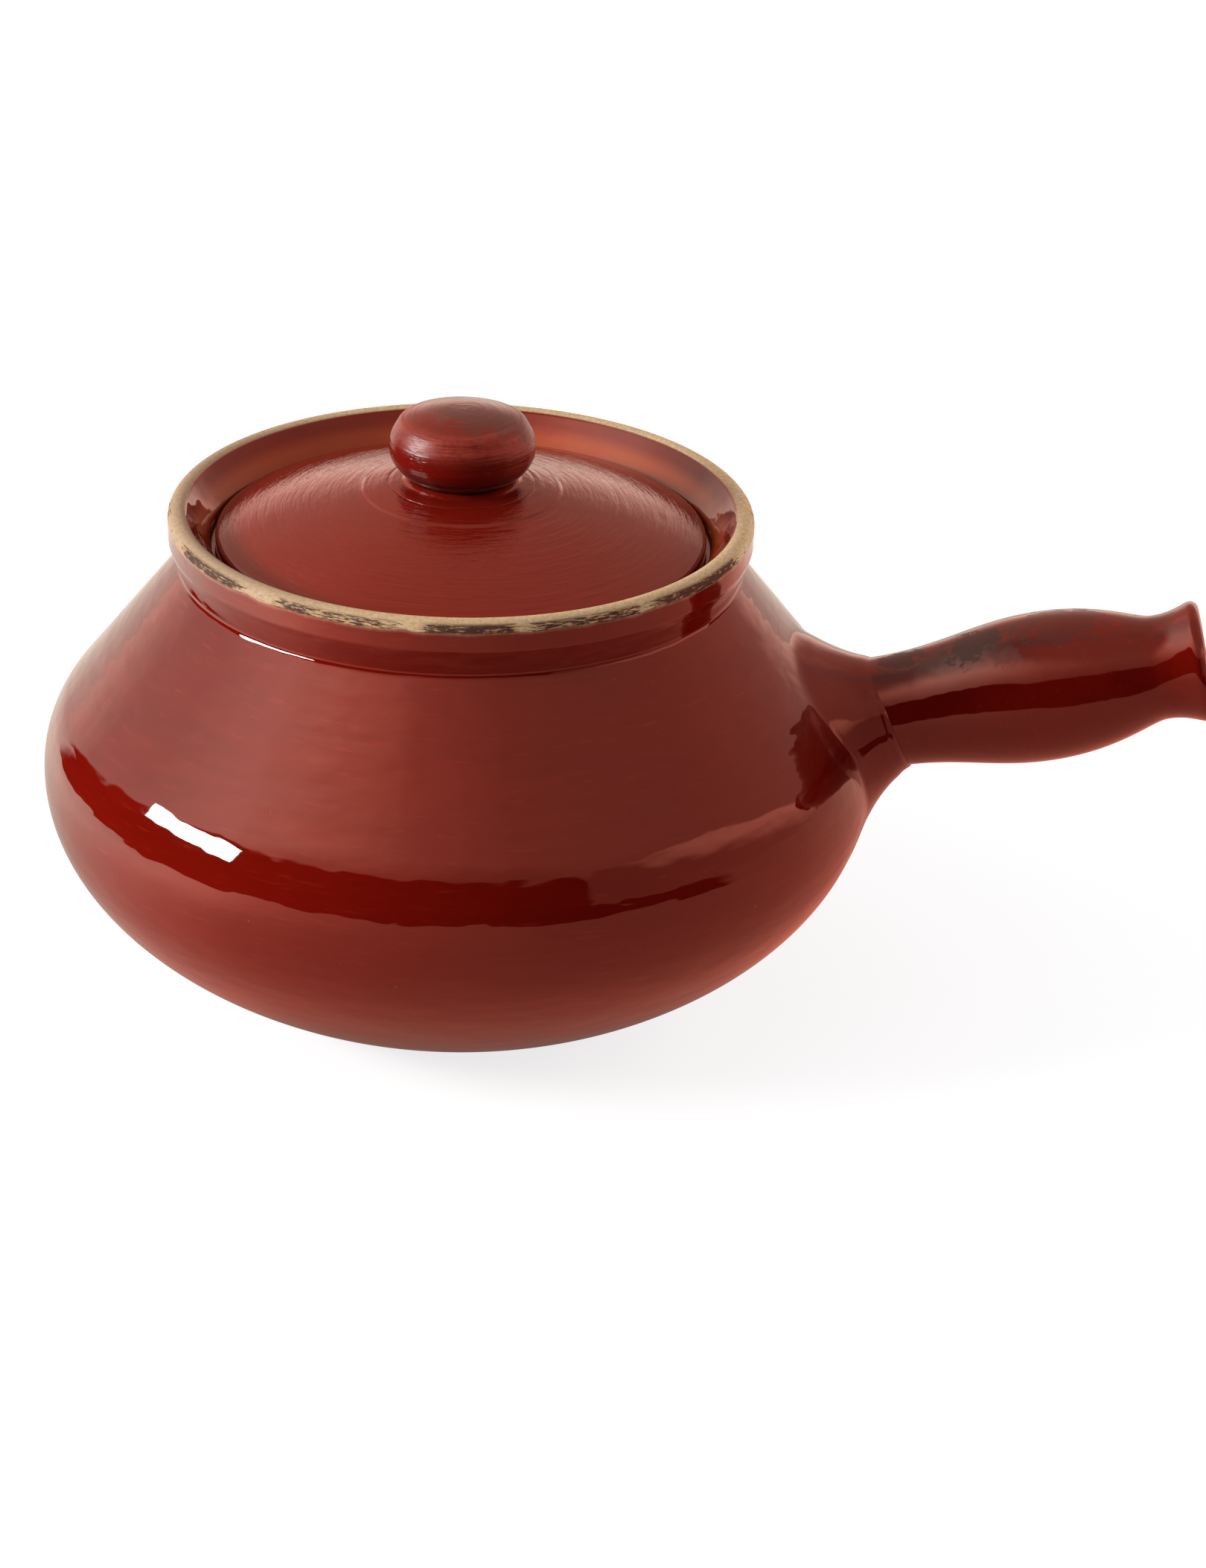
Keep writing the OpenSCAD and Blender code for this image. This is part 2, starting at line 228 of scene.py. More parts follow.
outside = shoulder + turn + bowl[1:]
inside = beside(outside, wall)
print("the shoulder slopes", round(90 - degrees(shoulder_angle)), "degrees")

# %% Profile of the collar, the ledge and the inside
lip_in_angle = pi / 2 + funnel_slope
lip_out_angle = radians(-12)
lip_in = lip_at + lip_r * Vector((cos(lip_in_angle), sin(lip_in_angle)))
lip_out = lip_at + lip_r * Vector((cos(lip_out_angle), sin(lip_out_angle)))
funnel_foot_z = lip_in.y - (lip_in.x - collar_bore_r) * tan(funnel_slope)
collar_turn = Vector((lip_out.x, crease.y + (lip_out.x - crease.x) / tan(collar_lean)))
collar_foot = [crease.lerp(collar_turn, share) for share in (0.02, 0.06, 0.15, 0.35)]
collar_outside = collar_foot + outline([collar_foot[-1], (*collar_turn, 3), lip_out])[1:]
lip = arc(lip_at, lip_r, lip_out_angle, lip_in_angle, 28)
gallery = outline([
    lip_in,
    (collar_bore_r, funnel_foot_z, 0.9),
    (collar_bore_r, ledge_z, 0.8),
    (mouth_r, ledge_z, 1.2),
    (mouth_r, ledge_z - ledge_t, 1.8),
    (*inside[0], 3),
    inside[1],
])
wall_inside = [p for p in inside if floor_t + floor_round < p.y < inside[0].y]
floor = outline([wall_inside[-1], (foot_r + 3, floor_t, floor_round), (0, floor_t)])
foot_rim = outline([(foot_r - 4, 0), (foot_r - 0.4, 0, 0.8), bowl[-3]])
pot_line = [Vector((0, 0))] + foot_rim[:-1] + outside[:1:-1][2:] + collar_outside
pot_line += lip[1:-1] + gallery + wall_inside + floor[1:]
pot_bm = spun(pot_line, 240)
pot_skin = BVHTree.FromBMesh(pot_bm)
pot = finish_piece("thrown_pot", pot_bm, "pot", "pot_body")

# %% [markdown]
# # The handle
# The handle is a hollow tube, thrown by itself with a waist, a full grip, a second waist and a
# flared mouth. It is turned round local Z here and then laid into its place, and the points at its
# root slide along its axis until they meet the belly, as the potter's knife cuts it.

# %% Profile of the handle
handle_tilt = radians(12.3)
handle_z = 83.1
handle_end = belly_r + 94.6
handle_wall = 5.0
waist_r = 15.7
waist_at = belly_r + 3.0
grip_r = 20.95
grip_at = belly_r + 48.5
end_waist_r = 14.65
end_waist_at = handle_end - 13.2
flare_r = 16.95
flare_slope = radians(20)
handle_lip_r = handle_wall / 2
handle_lip_at = Vector((flare_r - handle_lip_r, handle_end - handle_lip_r))
flare_edge = handle_lip_at + handle_lip_r * Vector((cos(flare_slope), -sin(flare_slope)))
flare_back = Vector((sin(flare_slope), cos(flare_slope)))
swell = grip_at - waist_at
taper = end_waist_at - grip_at
flare = handle_end - end_waist_at
root_ring_at = belly_r - 30.0
root_free_at = belly_r + 2.0
root_part = [Vector((waist_r, root_ring_at + (root_free_at - root_ring_at) * i / 6)) for i in range(7)]
grip_part = curve(
    Vector((waist_r, waist_at)),
    Vector((waist_r, waist_at + swell * 0.42)),
    Vector((grip_r, grip_at - swell * 0.37)),
    Vector((grip_r, grip_at)),
    36,
)
taper_part = curve(
    Vector((grip_r, grip_at)),
    Vector((grip_r, grip_at + taper * 0.58)),
    Vector((end_waist_r, end_waist_at - taper * 0.14)),
    Vector((end_waist_r, end_waist_at)),
    30,
)
flare_part = curve(
    Vector((end_waist_r, end_waist_at)),
    Vector((end_waist_r, end_waist_at + flare * 0.3)),
    flare_edge - flare * 0.3 * flare_back,
    flare_edge,
    14,
)
handle_outside = root_part + grip_part + taper_part[1:] + flare_part[1:]
handle_lip = arc(handle_lip_at, handle_lip_r, -flare_slope, pi - flare_slope, 20)
bore = beside(handle_outside, -handle_wall)[::-1]

# %% Lay the handle into its place and cut it to the belly
handle_place = (
    Matrix.Translation((belly_r, 0, handle_z))
    @ Matrix.Rotation(pi / 2 - handle_tilt, 4, "Y")
    @ Matrix.Translation((0, 0, -belly_r))
)
handle_along = (handle_place.to_3x3() @ Vector((0, 0, 1))).normalized()


def belly_along_axis(point):
    """How far back along the handle's axis the belly's skin lies behind a point in millimetres."""
    hit = pot_skin.ray_cast(point, -handle_along)
    return hit[3]


handle_bm = spun(handle_outside + handle_lip[1:-1] + bore, 128)
for vert in handle_bm.verts:
    if vert.co.z < root_free_at:
        at_free = handle_place @ Vector((vert.co.x, vert.co.y, root_free_at))
        share = (root_free_at - vert.co.z) / (root_free_at - root_ring_at)
        vert.co.z = root_free_at - share * belly_along_axis(at_free)
bmesh.ops.transform(handle_bm, matrix=handle_place, verts=handle_bm.verts)
handle = finish_piece("thrown_handle", handle_bm, "pot", "handle")

# %% [markdown]
# # The handle's clay collar
# A coil of soft clay is pressed round the handle's root and drawn out onto the belly with a wet
# finger. It is a trumpet that leans a little, so it is turned too. Each line of the trumpet is
# followed until it meets the belly, and the last millimetres melt into it.

# %% Profile of the clay collar
root_at = 6.3
root_l = 19.2
root_slope = radians(46)
root_lean = radians(7)
root_drop = 0.6
root_t = 0.9
root_tail = 13.0
root_blend = 2.0
melt = 1.8
melt_run = 4.5
sunk = 0.03
root_front_r = waist_r + root_t
root_spread = Vector((29.1, -root_l))
root_back = Vector((sin(root_slope), -cos(root_slope)))
trumpet_curve = curve(
    Vector((root_front_r, 0)),
    Vector((root_front_r, -root_l * 0.34)),
    root_spread - root_back * root_blend,
    root_spread,
    40,
)
root_edge = outline([(waist_r - 1, 0), (waist_r + 0.1, 0), (root_front_r, -2.4, 4), trumpet_curve[8]])
trumpet = root_edge + trumpet_curve[9:] + [root_spread + root_back * root_tail * i / 12 for i in range(1, 13)]
trumpet_place = handle_place @ Matrix.Translation((root_drop, 0, belly_r + root_at))
trumpet_place = trumpet_place @ Matrix.Rotation(-root_lean, 4, "Y")


# %% Draw the collar out onto the belly
def belly_gap(point):
    """Distance of a point in millimetres from the belly's skin, negative inside, and the skin's normal."""
    place, normal, _, _ = pot_skin.find_nearest(point)
    return (point - place).dot(normal), normal


def trumpet_radius(z):
    """Radius of the trumpet's line at a height z on its own axis."""
    line = root_edge[-1:] + trumpet[len(root_edge):]
    for p, q in zip(line, line[1:]):
        if q.y <= z <= p.y:
            return p.x + (q.x - p.x) * (p.y - z) / (p.y - q.y)
    return line[-1].x


def meets_belly(angle):
    """The height on the trumpet's axis where its line at that angle first reaches the belly."""
    start = trumpet_curve[8].y
    end = trumpet[-1].y
    best = (1e9, end)
    for i in range(61):
        z = start + (end - start) * i / 60
        r = trumpet_radius(z)
        gap = belly_gap(trumpet_place @ Vector((r * cos(angle), r * sin(angle), z)))[0]
        best = min(best, (gap, z))
        if gap < -melt_run:
            break
    return best[1]


trumpet_bm = spun(trumpet, 144)
meet = {}
feather = {}
start_z = trumpet_curve[8].y
end_z = trumpet[-1].y
for vert in trumpet_bm.verts:
    z = vert.co.z
    if z < start_z - 1e-4:
        angle = atan2(vert.co.y, vert.co.x)
        key = round(degrees(angle), 2)
        if key not in meet:
            meet[key] = meets_belly(angle)
        share = (start_z - z) / (start_z - end_z)
        new_z = start_z + (meet[key] - start_z) * share
        r = trumpet_radius(new_z)
        vert.co = Vector((r * cos(angle), r * sin(angle), new_z))
        feather[vert] = 1 - max(0, (share - 0.55) / 0.45) ** 1.5
bmesh.ops.transform(trumpet_bm, matrix=trumpet_place, verts=trumpet_bm.verts)
for vert in trumpet_bm.verts:
    gap, normal = belly_gap(vert.co)
    melted = (gap + sqrt(gap ** 2 + melt ** 2)) / 2
    melted = melted * feather.get(vert, 1) - sunk * (feather.get(vert, 1) == 0)
    if gap < 12:
        vert.co += normal * (melted - gap)
print("the collar meets the belly", round(min(meet.values()), 1), "to", round(max(meet.values()), 1), "mm back")
collar = finish_piece("luted_collar", trumpet_bm, "pot", "handle_collar")

# %% Let the collar's edge shine like the belly under it
line_angles = []
for i in range(1, len(outside) - 1):
    run = outside[i - 1] - outside[i + 1]
    line_angles.append(atan2(-run.x, run.y))


def belly_normal(point):
    """The belly's smooth normal beside a point in millimetres."""
    flat = Vector((sqrt(point.x ** 2 + point.y ** 2), point.z))
    shares = []
    for i in range(1, len(outside) - 2):
        step = outside[i + 1] - outside[i]
        share = max(0, min(1, (flat - outside[i]).dot(step) / step.length_squared))
        shares.append(((outside[i] + step * share - flat).length, i - 1, share))
    _, i, share = min(shares)
    slope = line_angles[i] + (line_angles[i + 1] - line_angles[i]) * share
    out = cos(slope) / flat.x
    return Vector((point.x * out, point.y * out, sin(slope)))


shine = []
for vert in collar.data.vertices:
    gap = belly_gap(vert.co / MM)[0]
    share = max(0, min(1, (gap - 0.05) / 1.2))
    share = share * share * (3 - 2 * share)
    shine.append(belly_normal(vert.co / MM).lerp(vert.normal, share).normalized())
collar.data.normals_split_custom_set_from_vertices(shine)
print("the collar's edge shares the belly's shine over", sum(n != v.normal for n, v in zip(shine, collar.data.vertices)), "points")

# %% [markdown]
# # The lid
# The lid is a shallow dome with a flat rim that sits inside the collar. Its middle rises to a low
# pad, which is where the knob is luted. The underside is hollow, so it is turned as a closed shell.

# %% Profile of the lid
lid_edge = 4.6
lid_edge_round = 1.7
lid_t = 5.4
pad_r = 28.0
pad_step = 0.6
pad_rise = 1.6
dome_foot = Vector((lid_r - 1, lid_z + lid_edge))
dome_top = Vector((pad_r, pad_z - pad_rise - pad_step))
dome = bulge(dome_top, dome_foot, 260, 48)
under_top_z = pad_z - lid_t - pad_step
under_foot_r = lid_r - 7.4
hollow = bulge(Vector((pad_r, under_top_z - pad_rise)), Vector((under_foot_r - 2, lid_z + 3.2)), 260, 16)
lid_under = outline([
    (0, under_top_z),
    (pad_r * 0.8, under_top_z, 40),
    hollow[0],
])
lid_rim = outline([
    hollow[-2],
    (under_foot_r - 1, lid_z + 2.6, 1.5),
    (under_foot_r, lid_z, 0.8),
    (lid_r, lid_z, 1),
    (lid_r, lid_z + lid_edge - 0.3, lid_edge_round),
    dome[-3],
])
lid_pad = outline([
    dome[1],
    (pad_r, dome_top.y + pad_step * 0.1, 1.2),
    (pad_r - 0.9, dome_top.y + pad_step, 1.2),
    (knob_ring_r + 0.8, pad_z, 4),
    (0, pad_z),
])
lid_line = lid_under[:1] + hollow[:-1] + lid_rim[1:-1] + dome[-3:1:-1] + lid_pad[1:]
lid = finish_piece("thrown_lid", spun(lid_line, 200), "lid", "lid")

# %% [markdown]
# # The knob and its bonding ring
# The knob is a solid bun, thrown by itself. A thin ring of wet clay squeezes out under it when it is
# pressed onto the pad, and the potter smooths that ring into the knob's neck.

# %% Profile of the knob
knob_neck_r = 14.5
knob_belly = Vector((knob_r, pad_z + 9.4))
knob_edge_z = pad_z + 13.6
knob_edge_round = 8
knob_brow = Vector((knob_r - 2.7, pad_z + 18.6))
knob_brow_round = 3
crown_slope = radians(19.5)
cheek = curve(
    Vector((knob_neck_r + 0.2, pad_z + 2.2)),
    Vector((knob_neck_r + (knob_r - knob_neck_r) * 0.55, pad_z + 4)),
    Vector((knob_r, pad_z + 7.4)),
    knob_belly,
    24,
)
crown_rise = Vector((-cos(crown_slope), sin(crown_slope)))
crown_at = knob_brow + 2.2 * crown_rise
crown = curve(crown_at, crown_at + 3.5 * crown_rise, Vector((knob_r * 0.35, knob_top)), Vector((0, knob_top)), 24)
upper_cheek = outline([
    knob_belly,
    (knob_r, knob_edge_z, knob_edge_round),
    (*knob_brow, knob_brow_round),
    crown_at,
])
knob_line = [Vector((0, pad_z)), Vector((knob_neck_r, pad_z)), Vector((knob_neck_r, pad_z + 1.4))]
knob_line += cheek + upper_cheek[1:] + crown[1:]
knob = finish_piece("thrown_knob", spun(knob_line, 144), "lid", "knob")

# %% Profile of the bonding ring
ring_line = outline([
    (knob_neck_r - 1, pad_z),
    (knob_ring_r, pad_z),
    (knob_ring_r - 0.1, pad_z + 0.2, 0.1),
    (knob_ring_r - 1.3, pad_z + 0.55, 1.5),
    (knob_neck_r + 2.0, pad_z + 0.9, 2),
    (knob_neck_r + 0.6, pad_z + 2.1),
    (knob_neck_r - 1, pad_z + 2.1),
    (knob_neck_r - 1, pad_z),
])
ring = finish_piece("bonding_ring", spun(ring_line, 144), "lid", "knob_collar")

# %% [markdown]
# # Shader groups
# Four effects are shared by the glazes, so each is one node group with named inputs: rings from the
# wheel, pinholes, smoke and brushed colour. They give out masks and heights only. The helpers below
# keep the node code short.

# %% Helpers for nodes
def node(tree, kind, inputs=None, **settings):
    """A new node with its settings, and its inputs set to values or linked to sockets."""
    made = tree.nodes.new(kind)
    for name, value in settings.items():
        setattr(made, name, value)
    for key, value in (inputs or {}).items():
        if isinstance(value, bpy.types.NodeSocket):
            tree.links.new(value, made.inputs[key])
        else:
            made.inputs[key].default_value = value
    return made


def maths(tree, operation, a, b=0.0, clamp=False):
    """The output of one Math node."""
    return node(tree, "ShaderNodeMath", {0: a, 1: b}, operation=operation, use_clamp=clamp).outputs[0]


def fade(tree, value, low, high, to_low=0.0, to_high=1.0):
    """A smooth step: to_low below low, to_high above high."""
    inputs = {"Value": value, "From Min": low, "From Max": high, "To Min": to_low, "To Max": to_high}
    return node(tree, "ShaderNodeMapRange", inputs, interpolation_type="SMOOTHSTEP").outputs[0]


def noise(tree, vector, scale, detail=3.0, rough=0.5):
    """The value of a noise texture between 0 and 1."""
    inputs = {"Vector": vector, "Scale": scale, "Detail": detail, "Roughness": rough}
    return node(tree, "ShaderNodeTexNoise", inputs).outputs["Fac"]


def mix(tree, factor, a, b):
    """A colour between a and b."""
    made = node(tree, "ShaderNodeMix", data_type="RGBA")
    for socket, value in (("Factor_Float", factor), ("A_Color", a), ("B_Color", b)):
        target = next(s for s in made.inputs if s.identifier == socket)
        if isinstance(value, bpy.types.NodeSocket):
            tree.links.new(value, target)
        else:
            target.default_value = value
    return next(s for s in made.outputs if s.identifier == "Result_Color")


def group(name, inputs, outputs):
    """An empty shader group with its sockets, its input node and its output node."""
    tree = bpy.data.node_groups.new(name, "ShaderNodeTree")
    for socket, kind, value in inputs:
        made = tree.interface.new_socket(socket, in_out="INPUT", socket_type=kind)
        if value is not None:
            made.default_value = value
    for socket in outputs:
        tree.interface.new_socket(socket, in_out="OUTPUT", socket_type="NodeSocketFloat")
    return tree, tree.nodes.new("NodeGroupInput"), tree.nodes.new("NodeGroupOutput")


def use(tree, shared, **inputs):
    """A shared group placed in a material, with its values."""
    made = tree.nodes.new("ShaderNodeGroup")
    made.node_tree = shared
    for key, value in inputs.items():
        socket = made.inputs[key.replace("_", " ")]
        if isinstance(value, bpy.types.NodeSocket):
            tree.links.new(value, socket)
        else:
            socket.default_value = value
    return made


# %% Group: places round the wheel's axis
FLOAT = "NodeSocketFloat"
VECTOR = "NodeSocketVector"
wheel, inside_in, inside_out = group(
    "wheel_places", [("Vector", VECTOR, None), ("Turns", FLOAT, 1.0)], ["Radius", "Height", "Angle"]
)
split = node(wheel, "ShaderNodeSeparateXYZ", {0: inside_in.outputs["Vector"]})
squared = maths(wheel, "ADD", maths(wheel, "POWER", split.outputs[0], 2), maths(wheel, "POWER", split.outputs[1], 2))
wheel_radius = maths(wheel, "SQRT", squared)
wheel_angle = maths(wheel, "ARCTAN2", split.outputs[1], split.outputs[0])
around = node(wheel, "ShaderNodeCombineXYZ", {
    0: maths(wheel, "DIVIDE", split.outputs[0], wheel_radius),
    1: maths(wheel, "DIVIDE", split.outputs[1], wheel_radius),
})
wheel.interface.new_socket("Around", in_out="OUTPUT", socket_type=VECTOR)
wheel.links.new(wheel_radius, inside_out.inputs["Radius"])
wheel.links.new(split.outputs[2], inside_out.inputs["Height"])
wheel.links.new(wheel_angle, inside_out.inputs["Angle"])
wheel.links.new(around.outputs[0], inside_out.inputs["Around"])

# %% Group: lines that fingers and brush leave round the axis
lines, lines_in, lines_out = group(
    "wheel_lines",
    [("Around", VECTOR, None), ("Along", FLOAT, 0.0), ("Pitch", FLOAT, 1.0), ("Length", FLOAT, 3.0),
     ("Detail", FLOAT, 4.0)],
    ["Value"],
)
stretched = node(lines, "ShaderNodeVectorMath", {
    0: lines_in.outputs["Around"], "Scale": lines_in.outputs["Length"],
}, operation="SCALE").outputs[0]
lifted = node(lines, "ShaderNodeCombineXYZ", {
    2: maths(lines, "DIVIDE", lines_in.outputs["Along"], lines_in.outputs["Pitch"]),
}).outputs[0]
line_place = node(lines, "ShaderNodeVectorMath", {0: stretched, 1: lifted}).outputs[0]
lines.links.new(noise(lines, line_place, 1.0, lines_in.outputs["Detail"], 0.6), lines_out.inputs["Value"])

# %% Group: pinholes and pale specks
pits, pits_in, pits_out = group(
    "pinholes", [("Vector", VECTOR, None), ("Spacing", FLOAT, 0.006), ("Size", FLOAT, 0.06), ("Share", FLOAT, 0.2)],
    ["Mask"],
)
scale = maths(pits, "DIVIDE", 1.0, pits_in.outputs["Spacing"])
cells = node(pits, "ShaderNodeTexVoronoi", {"Vector": pits_in.outputs["Vector"], "Scale": scale})
near = fade(pits, cells.outputs["Distance"], 0.0, pits_in.outputs["Size"], 1.0, 0.0)
chosen = maths(pits, "LESS_THAN", node(pits, "ShaderNodeSeparateColor", {0: cells.outputs["Color"]}).outputs[0],
               pits_in.outputs["Share"])
pits.links.new(maths(pits, "MULTIPLY", near, chosen), pits_out.inputs["Mask"])

# %% Group: a patch of smoke
smoke, smoke_in, smoke_out = group(
    "smoke_patch",
    [("Vector", VECTOR, None), ("Centre", VECTOR, None), ("Stretch", VECTOR, (1, 1, 1)), ("Radius", FLOAT, 0.01),
     ("Grain", FLOAT, 300.0), ("Raggedness", FLOAT, 0.6)],
    ["Mask"],
)
offset = node(smoke, "ShaderNodeVectorMath", {0: smoke_in.outputs["Vector"], 1: smoke_in.outputs["Centre"]},
              operation="SUBTRACT").outputs[0]
shaped = node(smoke, "ShaderNodeVectorMath", {0: offset, 1: smoke_in.outputs["Stretch"]},
              operation="MULTIPLY").outputs[0]
reach = node(smoke, "ShaderNodeVectorMath", {0: shaped}, operation="LENGTH").outputs["Value"]
ratio = maths(smoke, "DIVIDE", reach, smoke_in.outputs["Radius"])
ragged = maths(smoke, "SUBTRACT", noise(smoke, smoke_in.outputs["Vector"], smoke_in.outputs["Grain"], 5.0, 0.65), 0.5)
ragged = maths(smoke, "MULTIPLY", ragged, smoke_in.outputs["Raggedness"])
ragged = maths(smoke, "MULTIPLY", ragged, 3.0)
smoke.links.new(fade(smoke, maths(smoke, "ADD", ratio, ragged), 0.7, 1.1, 1.0, 0.0), smoke_out.inputs["Mask"])

# %% [markdown]
# # The red glaze
# The glaze is a clear, glossy coat over a dark red clay. Its colour deepens where it lies thick and
# turns orange where it is thin. The wheel's lines bend its mirror a little, and that is what makes
# the edges of every reflection tremble. All pieces share one recipe with their own values.

# %% The glaze recipe
RED = (0.160, 0.0042, 0.0016, 1)
LIGHT_RED = (0.245, 0.014, 0.006, 1)
ORANGE = (0.320, 0.042, 0.008, 1)
DEEP_RED = (0.060, 0.0016, 0.0010, 1)
SMOKE = (0.024, 0.013, 0.011, 1)
GLAZE_IOR = 1.47


def start_glaze(name, roughness):
    """A new material with its Principled shader, its tree and the places on the piece."""
    material = bpy.data.materials.new(name)
    material.use_nodes = True
    tree = material.node_tree
    shader = tree.nodes["Principled BSDF"]
    shader.inputs["Roughness"].default_value = roughness
    shader.inputs["IOR"].default_value = GLAZE_IOR
    places = node(tree, "ShaderNodeTexCoord").outputs["Object"]
    return material, tree, shader, places


def glaze_colour(tree, around, along, pitch, strength):
    """The red of the glaze, streaked round the axis where the brush left it thin."""
    broad = use(tree, lines, Around=around, Along=along, Pitch=pitch * 6, Length=2.5).outputs[0]
    fine = use(tree, lines, Around=around, Along=along, Pitch=pitch, Length=9.0).outputs[0]
    streak = fade(tree, fine, 0.56, 0.82, 0.0, strength)
    deep = fade(tree, broad, 0.38, 0.62, 0.14, 0.0)
    return mix(tree, streak, mix(tree, deep, RED, DEEP_RED), LIGHT_RED)


def wheel_bump(tree, height, distance, normal=None):
    """A Bump node for a height between 0 and 1."""
    inputs = {"Height": height, "Distance": distance, "Strength": 1.0}
    if normal:
        inputs["Normal"] = normal
    return node(tree, "ShaderNodeBump", inputs).outputs[0]


# %% Glaze of the pot, with its bare clay lip
BUFF = (0.60, 0.38, 0.18, 1)
PALE_BUFF = (0.74, 0.55, 0.33, 1)
# Painted shade: a duller, darker clay colour for the lamp's side of the bare lip
LAMP_SIDE_SHADE = (0.24, 0.17, 0.12, 1)
LILAC = (0.42, 0.16, 0.12, 1)
BROWN = (0.055, 0.023, 0.015, 1)
OCHRE = (0.52, 0.30, 0.09, 1)
pot_glaze, tree, shader, places = start_glaze("red glaze of the pot", 0.035)
at = use(tree, wheel, Vector=places)
colour = glaze_colour(tree, at.outputs["Around"], at.outputs["Height"], 0.0011, 0.75)
inner_wall = fade(tree, at.outputs["Radius"], (collar_bore_r + 2.0) * MM, (collar_bore_r + 5.0) * MM, 1.0, 0.0)
above_ledge = fade(tree, at.outputs["Height"], (ledge_z - 2) * MM, (ledge_z + 1) * MM)
inner_collar = maths(tree, "MULTIPLY", inner_wall, above_ledge)
colour = mix(tree, inner_collar, colour, ORANGE)
specks = use(tree, pits, Vector=places, Spacing=0.005, Size=0.07, Share=0.10).outputs[0]
colour = mix(tree, maths(tree, "MULTIPLY", specks, 0.5), colour, (0.50, 0.20, 0.14, 1))

# %% The bare lip and its brown marks
lip_wander = noise(tree, node(tree, "ShaderNodeVectorMath", {0: at.outputs["Around"], "Scale": 9.0},
                              operation="SCALE").outputs[0], 1.0, 6.0, 0.6)
lip_edge_z = fade(tree, lip_wander, 0.3, 0.7, (lip_at.y - 0.2) * MM, (lip_at.y + 0.6) * MM)
above = fade(tree, maths(tree, "SUBTRACT", at.outputs["Height"], lip_edge_z), -0.00025, 0.00025)
outer = fade(tree, at.outputs["Radius"], 0.0763, 0.0769)
bare = maths(tree, "MULTIPLY", above, outer)
fringe = fade(tree, maths(tree, "SUBTRACT", at.outputs["Height"], lip_edge_z), -0.0013, 0.0)
fringe = maths(tree, "MULTIPLY", fringe, outer)
grain = noise(tree, places, 900.0, 4.0, 0.7)
clay = mix(tree, fade(tree, grain, 0.35, 0.65), BUFF, PALE_BUFF)
across = maths(tree, "SUBTRACT", at.outputs["Height"], at.outputs["Radius"])
strokes = use(tree, lines, Around=at.outputs["Around"], Along=across, Pitch=0.0005, Length=26.0).outputs[0]
mark_grain = maths(tree, "ADD", maths(tree, "MULTIPLY", strokes, 0.75), maths(tree, "MULTIPLY", grain, 0.25))
# Painted shade: the bare clay turns duller and darker on the side that faces the window lamp
on_left = maths(tree, "COSINE", maths(tree, "SUBTRACT", at.outputs["Angle"], radians(-172)))
clay = mix(tree, fade(tree, on_left, 0.2, 0.95, 0.0, 0.55), clay, LAMP_SIDE_SHADE)
colour = mix(tree, maths(tree, "MULTIPLY", fringe, 0.6), colour, LILAC)
colour = mix(tree, bare, colour, clay)
MARKS = [(-85, 11, 0.9), (-62, 14, 0.7), (-33, 17, 1.0), (-145, 14, 0.9), (-112, 16, 0.7), (-178, 9, 0.5),
         (20, 25, 0.4), (80, 25, 0.4)]
marks = 0.0
for centre, half_width, amount in MARKS:
    away = maths(tree, "ABSOLUTE", maths(tree, "SUBTRACT", at.outputs["Angle"], radians(centre)))
    window = fade(tree, away, radians(half_width) * 0.6, radians(half_width), amount, 0.0)
    marks = maths(tree, "ADD", marks, window)
band_low = fade(tree, at.outputs["Height"], (lip_at.y - 0.6) * MM, (lip_at.y + 0.2) * MM)
band_high = fade(tree, at.outputs["Height"], (lip_at.y + 1.8) * MM, (lip_at.y + 2.7) * MM, 1.0, 0.0)
band_out = fade(tree, at.outputs["Radius"], 0.0786, 0.0794)
band = maths(tree, "MULTIPLY", maths(tree, "MULTIPLY", band_low, band_high), band_out)
dark = fade(tree, maths(tree, "ADD", mark_grain, maths(tree, "MULTIPLY", marks, 0.21)), 0.56, 0.68)
dark = maths(tree, "MULTIPLY", dark, band)
colour = mix(tree, maths(tree, "MULTIPLY", maths(tree, "MULTIPLY", marks, band), 0.5), colour, OCHRE)
colour = mix(tree, dark, colour, BROWN)
tree.links.new(colour, shader.inputs["Base Color"])
rough = maths(tree, "MAXIMUM", fade(tree, bare, 0.0, 1.0, 0.035, 0.75), maths(tree, "MULTIPLY", inner_collar, 0.06))
tree.links.new(rough, shader.inputs["Roughness"])

# %% The pot's uneven surface
ridges = use(tree, lines, Around=at.outputs["Around"], Along=at.outputs["Height"], Pitch=0.006, Length=5.0,
             Detail=1.5).outputs[0]
soft = noise(tree, places, 60.0, 2.0, 0.5)
clay_grain = maths(tree, "MULTIPLY", grain, bare)
normal = wheel_bump(tree, ridges, 0.0003)
normal = wheel_bump(tree, soft, 0.00025, normal)
normal = wheel_bump(tree, maths(tree, "SUBTRACT", clay_grain, specks), 0.00012, normal)
tree.links.new(normal, shader.inputs["Normal"])
pot.data.materials.append(pot_glaze)

# %% Glaze of the lid and the bonding ring
lid_glaze, tree, shader, places = start_glaze("red glaze of the lid", 0.05)
at = use(tree, wheel, Vector=places)
colour = glaze_colour(tree, at.outputs["Around"], at.outputs["Radius"], 0.0012, 0.6)
colour = mix(tree, 0.35, colour, LIGHT_RED)
tree.links.new(colour, shader.inputs["Base Color"])
rings = use(tree, lines, Around=at.outputs["Around"], Along=at.outputs["Radius"], Pitch=0.0016, Length=3.0).outputs[0]
soft = noise(tree, places, 50.0, 2.0, 0.5)
normal = wheel_bump(tree, rings, 0.00024)
normal = wheel_bump(tree, soft, 0.0002, normal)
tree.links.new(normal, shader.inputs["Normal"])
lid.data.materials.append(lid_glaze)
ring.data.materials.append(lid_glaze)

